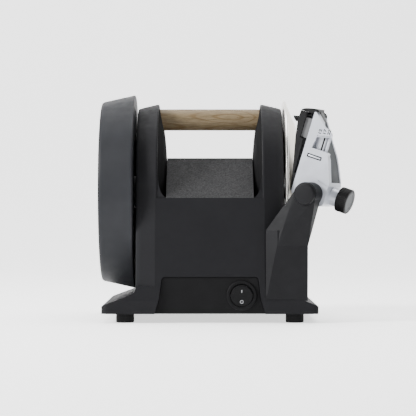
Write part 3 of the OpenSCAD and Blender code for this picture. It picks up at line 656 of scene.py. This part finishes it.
def switch_bezel():
    """Ring round the rocker; its lip stands over the rocker's edge."""
    face = -PANEL_Y
    profile = [(15, face - 3.05), (15, face - 3.9), (14.6, face - 4.6), (13.9, face - 4.95)]
    profile += [(12.5, face - 4.95), (11.7, face - 4.75), (11.15, face - 4.4), (11.15, face - 3.6)]
    profile += [(11.6, face - 3.5), (11.6, -91.5), (0, -91.5), (0, -82), (13.9, -82), (13.9, face - 3.05)]
    return place(turned("switch_ring", profile, 96, at=SWITCH, axis="y"))


def rocker_frame():
    """The rocker's own frame: at its pin, tipped to its rest position."""
    pin = Vector(joints["power_rocker"]["pos_m"]) / MM
    return Matrix.Translation(pin) @ Matrix.Rotation(math.radians(7), 4, "X")


def switch_rocker():
    """A round rocker whose face is dished along its height, with two ears that hide its pin."""
    points = arc_points(96)
    rings = [(3.2, 10.2), (2.9, 10.75), (-2.8, 10.75), (-3.3, 10.6), (-3.6, 10.2)]
    loops = [[(r * c, depth, r * s) for c, s in points] for depth, r in rings]
    for r in (9.4, 8, 6, 4, 2, 0.4):
        heights = [r * s for c, s in points]
        dish = [-3.75 + 0.55 * math.cos(z / 10.2 * math.pi / 2) - 0.25 for z in heights]
        loops.append([(r * c, y, z) for (c, s), y, z in zip(points, dish, heights)])
    cap = loft("rocker_cap", loops, smooth_angle=50)
    ears = [extruded("ear", box(end * 10.3, -1.7, end * 11.05, 1.7), -3.2, -1.5) for end in (-1, 1)]
    return place(combine(cap, *(("add", ear) for ear in ears), smooth_angle=50), rocker_frame())


def rocker_marks():
    """The plain on and off marks, inlaid in the rocker."""
    on = extruded("switch_marks", rounded(box(-0.4, 3.2, 0.4, 6.1), 0.3), -3.95, -3.2)
    ring = extruded("ring", arc((0, -5.8), 1.75, 0, 352.5, 47), -3.98, -3.2)
    hole = extruded("ring_hole", arc((0, -5.8), 1.2, 0, 345, 23), -5, -2)
    return place(combine(on, ("add", combine(ring, ("cut", hole)))), rocker_frame())


# ---------------------------------------------------------------- bracket

def guide_bracket():
    """Faceted bracket: a block on the base, an arm that leans forward, and the pivot boss."""
    block = [(55, -BASE_Y, 22), (96, -BASE_Y, 22), (55, -BASE_Y + 18, 22), (96, -BASE_Y + 18, 22)]
    block += [(66.2, -108, 79), (96, -108, 79), (96, -91, 79), (66, -91, 79)]
    block += [(55, -99, 91), (55, -97, 91), (66, -107, 91), (86, -107, 91), (86, -97, 91), (66, -97, 91)]
    arm = [(66, -108, 76), (96, -108, 76), (66, -92, 76), (96, -92, 76), (55, -99, 91), (55, -97, 91)]
    to_body = BODY.inverted() @ PIVOT
    for depth in (-17, -1.5):
        arm += [tuple(to_body @ Vector((10.9 * c, depth, 10.9 * s))) for c, s in arc_points(32)]
    boss = round_bar("boss", 11.5, -17.6, -0.4, segments=96)
    bore = round_bar("bore", PIVOT_BORE_R, -30, 10)
    for tool in (boss, bore):
        tool.data.transform(to_body)
    changes = [("add", hull("arm", arm)), ("add", boss), ("cut", bore)]
    for bolt in BRACKET_BOLTS:
        changes.append(("cut", round_bar("bolt_hole", 3.1, 40, 100, "x", bolt, 48)))
        changes.append(("cut", round_bar("bolt_head_hole", 5.5, 90, 110, "x", bolt)))
    leg_y, base_y = -front_y(AXLE_Z) + 0.05, -BASE_Y + 0.05
    leg_space = [(leg_y, AXLE_Z + 40), (leg_y, AXLE_Z), (base_y, FLANGE_Z), (base_y, 10)]
    leg_space += [(0, 10), (0, AXLE_Z + 40)]
    changes.append(("cut", extruded("leg_space", leg_space, 40, UPRIGHT_X, "x")))
    flange_space = [(40, 5), (BASE_X + 5, 5), (BASE_X + 5, 15.3), (76, 25.8), (76, 27.3), (40, 27.3)]
    changes.append(("cut", extruded("flange_space", flange_space, -BASE_Y - 0.1, 0)))
    return place(combine(hull("bracket_casting", block), *changes, smooth_angle=24))


def pivot_cap():
    """Round cap over the end of the pivot pin, in front of the boss."""
    r = PIVOT_BORE_R
    profile = [(r, -18), (r, -20), (0, -20), (0, -21.6), (8.6, -21.5), (10, -21.2), (10.8, -20.4)]
    profile += [(11, -19.4), (11, -17.65), (r, -17.65)]
    return place(turned("pivot_knob", profile, 96, at=(0, 0), axis="y"), PIVOT)


# ---------------------------------------------------------------- knife guide

GUIDE_DEPTH = 35
SCALE_DEPTH = 7  # thickness of the casting's front plate
SLOT_X = -22  # the casting's face on the slot
SCALE_FOOT = (-5, 20)  # where the pointer turns
KNOB_AT = (17.5, 2.5)
KNOB_FROM, KNOB_TO = 22.5, 34
JAW_PIN = (-32, 72)
# The slanted side of the casting, where the grey insert lies
SIDE = [(-19.6, 70), (-18, 68), (-12.7, 60), (-7.3, 52), (-2, 44.7), (2, 39), (5.7, 32), (13.4, 15.6)]


def guide_casting():
    """Silver casting: a front plate with its window, the body behind it, and the knob's boss."""
    foot_right = [(14.3, -7), (11, -9.6), (-16, -9.6)]
    front = [(-19.5, -7), (SLOT_X, -3), (SLOT_X, 77.4), (-20.3, 78.2), (-7.1, 66.5), (-1.3, 64.3)]
    front += [(2.3, 61.5), (2.7, 49.4), (3.5, 45.6), (4.1, 39.9), (6, 37.1), (14.3, 14), *foot_right]
    radii = [2, 2, 0.5, 0.5, 3, 3, 3, 3, 3, 2, 3, 5, 3, 2, 3]
    rear = [(-19.5, -7), (SLOT_X, -3), (SLOT_X, 73.2), (-21.5, 72.8), *SIDE, (14.3, 12), *foot_right]
    boss = [(0, 8), (9, 8), (9, 20.5), (8.7, 21.6), (8.1, 22.1), (0, 22.1)]
    side = [(x + 6, z) for x, z in SIDE] + [(x - 2, z) for x, z in reversed(SIDE)]
    window = rounded([(-14.2, 43.3), (6, 43.3), (6, 59.4), (-12.6, 54.8)], 0.5)
    behind = [(0.4, 42.5), (10, 42.5), (10, 72), (-12, 72), (-9, 65), (-2, 62.6), (0.4, 60)]
    back = rounded(box(-16.6, 15, 0.2, 60), 1)
    badge = rounded(box(-16.8, 33.5, -1, 37.4), 0.5)
    crease = [(14.6, 11.6), (2.5, 14.2), (2.5, 15.1), (14.6, 12.5)]
    cuts = [(side, 8, 32), (window, -2, 4), (behind, 3.3, SCALE_DEPTH + 1.4), (back, 2.2, 6)]
    cuts += [(badge, -1, 0.8), (crease, -1, 1.1)]
    return place(combine(
        extruded("guide_shell", rounded(front, radii, 4), 0, SCALE_DEPTH),
        ("add", extruded("guide_rear", rounded(rear, 1.5, 4), SCALE_DEPTH - 0.8, GUIDE_DEPTH)),
        ("add", turned("boss", boss, 96, at=KNOB_AT)),
        *(("cut", extruded("cut", outline, low, high)) for outline, low, high in cuts),
        ("cut", round_bar("pivot_bore", 4.05, -2, 40)),
        ("cut", round_bar("knob_bore", 3.05, 10, 30, "x", KNOB_AT, 48)),
        smooth_angle=30), GUIDE)


def side_insert():
    """Grey insert in the casting's slanted side."""
    outline = [(x - 0.6, z) for x, z in SIDE] + [(x - 1.98, z) for x, z in reversed(SIDE)]
    return place(extruded("side_grip", outline, 8.15, 31.85, edge=0.3), GUIDE)


def badge_part(name, corners, radius, low, high):
    """The badge's blank plate, or the dark plate it lies on."""
    return place(extruded(name, rounded(box(*corners), radius), low, high, edge=0.1), GUIDE)


def scale_marks():
    """Ticks along the window's upper edge and three plain numbers above them, turned upright."""
    lift = 0.247
    marks = None
    for k in range(11):
        x = -12.0 + 1.3 * k
        z = 55.5 + lift * (x + 12)
        tick_height = 1.7 if k % 5 == 0 else 1.0
        tick = extruded("scale_marks", box(x - 0.2, z, x + 0.2, z + tick_height), -0.06, 0.3)
        marks = combine(marks, ("add", tick)) if marks else tick
    turn = Matrix.Rotation(math.pi / 2, 4, "X") @ Matrix.Rotation(math.pi / 2, 4, "Z")
    bm = bmesh.new()
    bm.from_mesh(marks.data)
    for angle, x in ((12, -10.6), (17, -5.8), (22, -1.2)):
        text = bpy.data.curves.new("number", "FONT")
        text.body = str(angle)
        text.size, text.offset, text.extrude = 4.6, 0.16, 0.18
        text.align_x = "CENTER"
        holder = bpy.data.objects.new("number", text)
        bpy.context.collection.objects.link(holder)
        graph = bpy.context.evaluated_depsgraph_get()
        digits = bpy.data.meshes.new_from_object(holder.evaluated_get(graph))
        bpy.data.objects.remove(holder)
        spot = Matrix.Translation((x + 1.3, 0.12, 60.4 + lift * (x + 12)))
        digits.transform(spot @ turn @ Matrix.Diagonal((1.2, 0.85, 1, 1)))
        bm.from_mesh(digits)
    bm.to_mesh(marks.data)
    bm.free()
    return place(marks, GUIDE)


def scale_barrels():
    """Light scale plate with two upright barrels behind the pointer."""
    outline = [(-16.4, 5.8)] + arc((-9.2, 5.5), 3.9, 180, 0, 16)[:-1]
    outline += arc((-0.6, 5.2), 2.4, 180, 45, 12) + [(0.1, 5.8)]
    outline = [(x, 5.8 - (y - 5.5) * 0.42 if y > 5.5 else y) for x, y in outline]
    return place(extruded("scale_barrels", outline[::-1], 41.1, 59.9, "z"), GUIDE)


def pointer():
    """Thin needle on a round hub at its foot."""
    x, z = SCALE_FOOT
    needle = [(x - 1.5, z), (x - 0.75, z + 20), (x - 0.75, z + 35.6), (x, z + 36.4)]
    needle += [(x + 0.75, z + 35.6), (x + 0.75, z + 20), (x + 1.5, z)]
    hub = round_bar("hub", 3, 2.4, 4, at=SCALE_FOOT, segments=48)
    return place(combine(extruded("scale_needle", rounded(needle, 0.3), 2.6, 3.6), ("add", hub)), GUIDE)


def slot_frame():
    """Black frame of the slot: a long leg, a wide cheek in front, a narrow one behind, a pin cover."""
    leg_x = SLOT_X - 0.04
    leg = [(-31.4, 50), (-25.8, 49.3), (-24.6, 14), (leg_x, 14), (leg_x, -3), (-22.8, -3), (-25.5, 10)]
    front = [(-36.4, 75.3), (-29.5, 75.5), (-29.5, 48), (-26.5, 30), (-24.9, 12), (-25.8, 12)]
    front += [(-28.8, 26), (-34.2, 49), (-37, 66)]
    front = rounded(front, [0.5, 0, 0, 0, 0, 0, 2, 4, 4])
    rear = rounded([(-34.6, 75.5), (-29.5, 75.5), (-29.5, 48), (-31.8, 46), (-35, 67)], [0, 0.5, 0, 0, 2])
    return place(combine(
        extruded("slot_frame", leg, 0, GUIDE_DEPTH),
        ("add", extruded("cheek", front, -0.05, 2)),
        ("add", extruded("cheek", rear, GUIDE_DEPTH - 2, GUIDE_DEPTH)),
        ("cut", round_bar("pin_bore", 1.27, -2, 40, at=JAW_PIN, segments=32)),
        ("add", round_bar("pin_cover", 1.9, -0.4, 0.02, at=JAW_PIN, segments=48))), GUIDE)


def top_cap():
    """Cap over the slot, slanted back on the right, with a dark skirt down to the grey insert."""
    outline = [(-36.4, 75.6), (-35.4, 77), (-32.6, 78.5), (-29, 79.5), (-25.4, 80.3), (-21.5, 80.95)]
    outline += [(-19.4, 80.7), (-18.2, 80), (-17.5, 78.6), (-22.3, 78.6), (-22.3, 75.6)]
    plan = [(-10, 8), (-16, 8), (-26.5, GUIDE_DEPTH + 1), (-10, GUIDE_DEPTH + 1)]
    foot = [(-21.9, 68), (-21.9, 75.65)]
    near = foot + [(-22.2, 75.65), (-22.2, 78.7), (-18.8, 78.7), (-16.8, 68)]
    far = foot + [(-26.3, 75.65), (-26.3, 78.7), (-25.6, 77.8), (-19.2, 68)]
    ends = ((SCALE_DEPTH + 0.1, near), (GUIDE_DEPTH - 0.1, far))
    skirt = loft("cap_skirt", [[(x, y, z) for x, z in side] for y, side in ends], triangles=True)
    return place(combine(
        extruded("slot_cap", outline, 0, GUIDE_DEPTH),
        ("cut", extruded("plan", plan, 70, 90, "z")), ("add", skirt)), GUIDE)


def jaw():
    """Sprung jaw: a knuckle on its pin, the plate behind the pad, and the hook."""
    plate = rounded([(-34.6, 71), (-29.8, 71), (-30.8, 50), (-32.6, 50), (-35, 67)], [0.5, 0, 0, 0.6, 2])
    hook = [(-34, 70), (-43.6, 67.8), (-43.2, 66.2), (-39.6, 63), (-38.6, 63.4), (-40.6, 66.1), (-34, 67.4)]
    low, high = 2.3, GUIDE_DEPTH - 2.3
    return place(combine(
        round_bar("jaw_plate", 2.8, low, high, at=JAW_PIN),
        ("add", extruded("plate", plate, low, high)),
        ("add", extruded("hook", rounded(hook, 0.5), 3, 11)),
        ("cut", round_bar("pin_bore", 1.3, 0, 36, at=JAW_PIN, segments=32)),
        ("cut", extruded("spring_space", box(-36, 68.5, -28, 76.5), 14, 21))), GUIDE)


def jaw_pad():
    """Grey rubber pad that presses on the blade."""
    outline = [(-30, 70), (-22.4, 70), (-22.4, 51.2), (-23.2, 50.4), (-30.72, 50.4)]
    outline = rounded(outline, [0.6, 1, 1.2, 1, 0.4])
    return place(extruded("jaw_rubber", outline, 2.5, GUIDE_DEPTH - 2.5, edge=0.7), GUIDE)


def jaw_spring():
    """Torsion spring: a helix of wire round the jaw's pin."""
    turns, wire, mean, start, length = 4, 0.45, 1.9, 15, 5.0
    steps = turns * 24
    loops = []
    for k in range(steps + 1):
        a = 2 * math.pi * k / 24
        out = Vector((math.cos(a), 0, math.sin(a)))
        centre = Vector((JAW_PIN[0], start + length * k / steps, JAW_PIN[1])) + mean * out
        loops.append([centre + wire * (out * c + Vector((0, 1, 0)) * s) for c, s in arc_points(10)])
    return place(loft("jaw_coil", loops, smooth_angle=60), GUIDE)


def angle_knob():
    """Knob rim with straight ribs, and its screw stem."""
    ribs, outer, inner = 44, 12.45, 11.75  # count, and the radii of crests and grooves
    outline = []
    for k in range(ribs):
        for part, r in ((-0.3, inner), (-0.17, outer), (0.17, outer), (0.3, inner)):
            a = 2 * math.pi * (k + part) / ribs
            outline.append((KNOB_AT[0] + r * math.cos(a), KNOB_AT[1] + r * math.sin(a)))
    rim = extruded("knob_rim", outline, KNOB_FROM + 0.6, KNOB_TO - 0.5, "x", edge=0.25)
    rings = [(0, KNOB_FROM), (10.6, KNOB_FROM), (11.7, KNOB_FROM + 0.7), (11.7, KNOB_TO - 0.6)]
    rings += [(11.2, KNOB_TO), (10.5, KNOB_TO), (10.5, KNOB_TO - 1.2), (0, KNOB_TO - 1.2)]
    core = turned("core", rings, 128, at=KNOB_AT)
    stem = round_bar("stem", 3, 12, KNOB_FROM + 1, "x", KNOB_AT, 48, edge=0.3)
    return place(combine(rim, ("add", core), ("add", stem), smooth_angle=25), GUIDE)


def knob_cap():
    """Steel disc sunk in the knob's end, with a plain raised ring."""
    rings = [(0, KNOB_TO - 1.15), (10.4, KNOB_TO - 1.15), (10.4, KNOB_TO - 0.5), (10, KNOB_TO - 0.15)]
    rings += [(9.2, KNOB_TO), (7.6, KNOB_TO - 0.05), (7.2, KNOB_TO - 0.3), (0, KNOB_TO - 0.3)]
    return place(turned("knob_disc", rings, 128, at=KNOB_AT, smooth_angle=20), GUIDE)


# ---------------------------------------------------------------- materials by slot

shades = {
    "cast_housing": cast_coat("cast_coat", "18181a"),
    "panel_plastic": moulded("panel_plastic", "111112", 0.55, grain=0.7, depth=0.03, specular=0.07),
    "foot_rubber": moulded("foot_rubber", "121213", 0.7, grain=0.6, depth=0.05, specular=0.12),
    "oak": oak("oak"),
    "zinc_steel": metal("zinc_steel", "b4b6ba", 0.34),
    "bell_aluminium": metal("bell_aluminium", "8c8e92", 0.5, grain=0.8, depth=0.03),
    "brass": metal("brass", "c79a4b", 0.32),
    "lamination": laminated("lamination", "8b8d90"),
    "copper_winding": wound("copper_winding", "a8582c"),
    "white_plastic": moulded("white_plastic", "dfddd4", 0.45),
    "green_board": moulded("green_board", "1f6b3c", 0.35, coat=0.4),
    "diamond_steel": turned_steel("diamond_steel", "e6e3dd", 0.28, 0.6, 0.0012),
    "diamond_coating": turned_steel("diamond_coating", "efe9dd", 0.36, 3.0, 0.002, grit=0.02),
    "honing_compound": moulded("honing_compound", "1f2023", 0.5, grain=1.1, specular=0.12),
    "honing_hub": moulded("honing_hub", "323336", 0.5),
    "guide_silver": moulded("guide_silver", "b3b6be", 0.34, 0.45, 0.008, vary=0.05, metallic=0.35),
    "guide_black": moulded("guide_black", "0e0e0f", 0.42, grain=0.6, depth=0.015, specular=0.14),
    "insert_grey": moulded("insert_grey", "484a4c", 0.6, grain=0.9, depth=0.06, specular=0.12),
    "pad_grey": moulded("pad_grey", "5a5a5b", 0.75, grain=0.5, depth=0.03, specular=0.25, sheen=0.2),
}
bracket_coat = moulded("bracket_coat", "131315", 0.48, grain=0.8, depth=0.04, specular=0.1)
mark_paint = moulded("mark_paint", "8b8c8f", 0.5)
scale_ink = moulded("scale_ink", "101113", 0.5, specular=0.1)
badge_ink = moulded("badge_ink", "0c0d0f", 0.45, specular=0.1)
cap_steel = metal("cap_steel", "36383b", 0.4)

for row in frame["record"]["subparts"]:
    node = frame["nodes"][row["node"]]
    node.data.materials.clear()
    node.data.materials.append(shades[row["material_slot"]])


def fit(piece, body, slot, *nodes, shade=None):
    """A finished piece: its material, taken from its slot unless a shade is given, its body and the CAD
    nodes it stands for.
    """
    piece.data.materials.clear()
    piece.data.materials.append(shade or shades[slot])
    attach(piece, body)
    if nodes:
        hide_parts(*nodes)


# ---------------------------------------------------------------- the object

fit(soften(housing(), 0.7, 2, 32), "root", "cast_housing", "housing")
fit(soften(panel("front_panel", -1), 0.5), "root", "panel_plastic", "switch_panel")
fit(soften(panel("rear_panel", 1), 0.5), "root", "panel_plastic", "inlet_panel")
for name in ("foot_front_left", "foot_front_right", "foot_rear_left", "foot_rear_right"):
    low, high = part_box(name)
    middle = (low + high) / 2 / MM
    fit(foot(f"{name}_pad", middle.x - BODY_X, middle.y - BODY_Y), "root", "foot_rubber", name)
fit(handle(), "root", "oak", "handle_grip")
fit(even_normals(diamond_wheel()), "spindle", "diamond_steel", "diamond_wheel")
fit(abrasive_face(), "spindle", "diamond_coating", "abrasive_ring")
fit(even_normals(honing_ring()), "spindle", "honing_compound", "honing_ring")
fit(even_normals(honing_core()), "spindle", "honing_hub", "honing_core")
fit(even_normals(switch_bezel()), "root", "panel_plastic", "switch_bezel")
fit(switch_rocker(), "rocker", "panel_plastic", "switch_rocker")
fit(rocker_marks(), "rocker", "white_plastic", shade=mark_paint)
fit(soften(guide_bracket(), 0.8, 3, 20), "root", "cast_housing", "guide_bracket", shade=bracket_coat)
fit(even_normals(pivot_cap()), "root", "guide_black", "pivot_cap", shade=bracket_coat)
fit(soften(guide_casting(), 0.35, 3, 34), "guide", "guide_silver", "guide_casting")
fit(side_insert(), "guide", "insert_grey", "guide_side_insert")
badge_plate = badge_part("badge_plate", (-15.5, 34.7, -2.3, 36.2), 0.3, 0.06, 0.5)
badge_rim = badge_part("badge_rim", (-16.72, 33.58, -1.08, 37.32), 0.5, 0.2, 0.78)
fit(badge_plate, "guide", "guide_silver", "guide_badge")
fit(badge_rim, "guide", "guide_silver", shade=badge_ink)
fit(scale_marks(), "guide", "guide_silver", shade=scale_ink)
fit(scale_barrels(), "guide", "guide_silver", "scale_plate")
fit(soften(pointer(), 0.12), "pointer", "guide_black", "scale_pointer")
fit(soften(slot_frame(), 0.4, 3), "guide", "guide_black", "guide_leg")
fit(soften(top_cap(), 0.5, 3), "guide", "guide_black", "top_cap")
fit(soften(jaw(), 0.3), "jaw", "guide_black", "pressure_jaw")
fit(jaw_pad(), "jaw", "pad_grey", "jaw_pad")
fit(jaw_spring(), "jaw", "zinc_steel", "jaw_spring")
fit(angle_knob(), "knob", "guide_black", "angle_knob")
fit(knob_cap(), "knob", "guide_silver", "knob_cap", shade=cap_steel)

for name, node in frame["nodes"].items():
    if not node.hide_render:
        soften(node, 0.25)


# ---------------------------------------------------------------- room, lights and camera

def area_light(name, at, look_at, size, power):
    """A white rectangular light that faces a point; sizes are in metres."""
    light = bpy.data.lights.new(name, "AREA")
    light.shape = "RECTANGLE"
    light.size, light.size_y = size
    light.energy = power
    holder = bpy.data.objects.new(name, light)
    holder.location = at
    holder.rotation_euler = (Vector(look_at) - Vector(at)).to_track_quat("-Z", "Y").to_euler()
    bpy.context.collection.objects.link(holder)


def floor():
    """White floor that sweeps up into a backdrop."""
    depth = [(-4, 0), (1.2, 0)] + arc((1.2, 0.8), 0.8, -90, 0, 16)[1:] + [(2.0, 5)]
    bm = bmesh.new()
    rows = [[bm.verts.new((x, y, z)) for y, z in depth] for x in (-4, 4)]
    for i in range(len(depth) - 1):
        bm.faces.new((rows[0][i], rows[0][i + 1], rows[1][i + 1], rows[1][i]))
    sweep = new_object("floor", bm)
    paper = moulded("floor_paper", "f4f4f4", 0.7, grain=2, depth=0.01, vary=0.01, glow=1.2)
    sweep.data.materials.append(paper)
    return sweep


floor()
middle = (BODY_X * MM, BODY_Y * MM, 0.12)
area_light("key", (-1.9, -0.9, 1.2), middle, (0.8, 0.8), 115)
area_light("fill", (1.3, -1.2, 0.7), middle, (1.2, 1.0), 3)
area_light("top", (0.0, 0.1, 1.6), middle, (1.4, 1.0), 34)
area_light("front", (-0.2, -2.2, 0.5), middle, (1.4, 0.8), 3)

world = bpy.data.worlds.new("room")
bpy.context.scene.world = world
world.use_nodes = True
sky = world.node_tree.nodes["Background"]
sky.inputs["Color"].default_value = (1, 1, 1, 1)
sky.inputs["Strength"].default_value = 0.17

camera_data = bpy.data.cameras.new("camera")
camera_data.lens = 160.1
camera_data.sensor_width = 36
camera = bpy.data.objects.new("camera", camera_data)
camera.location = (-0.01834, -1.9079, 0.11303)
camera.rotation_euler = (math.pi / 2, 0, 0)
bpy.context.collection.objects.link(camera)
bpy.context.scene.camera = camera
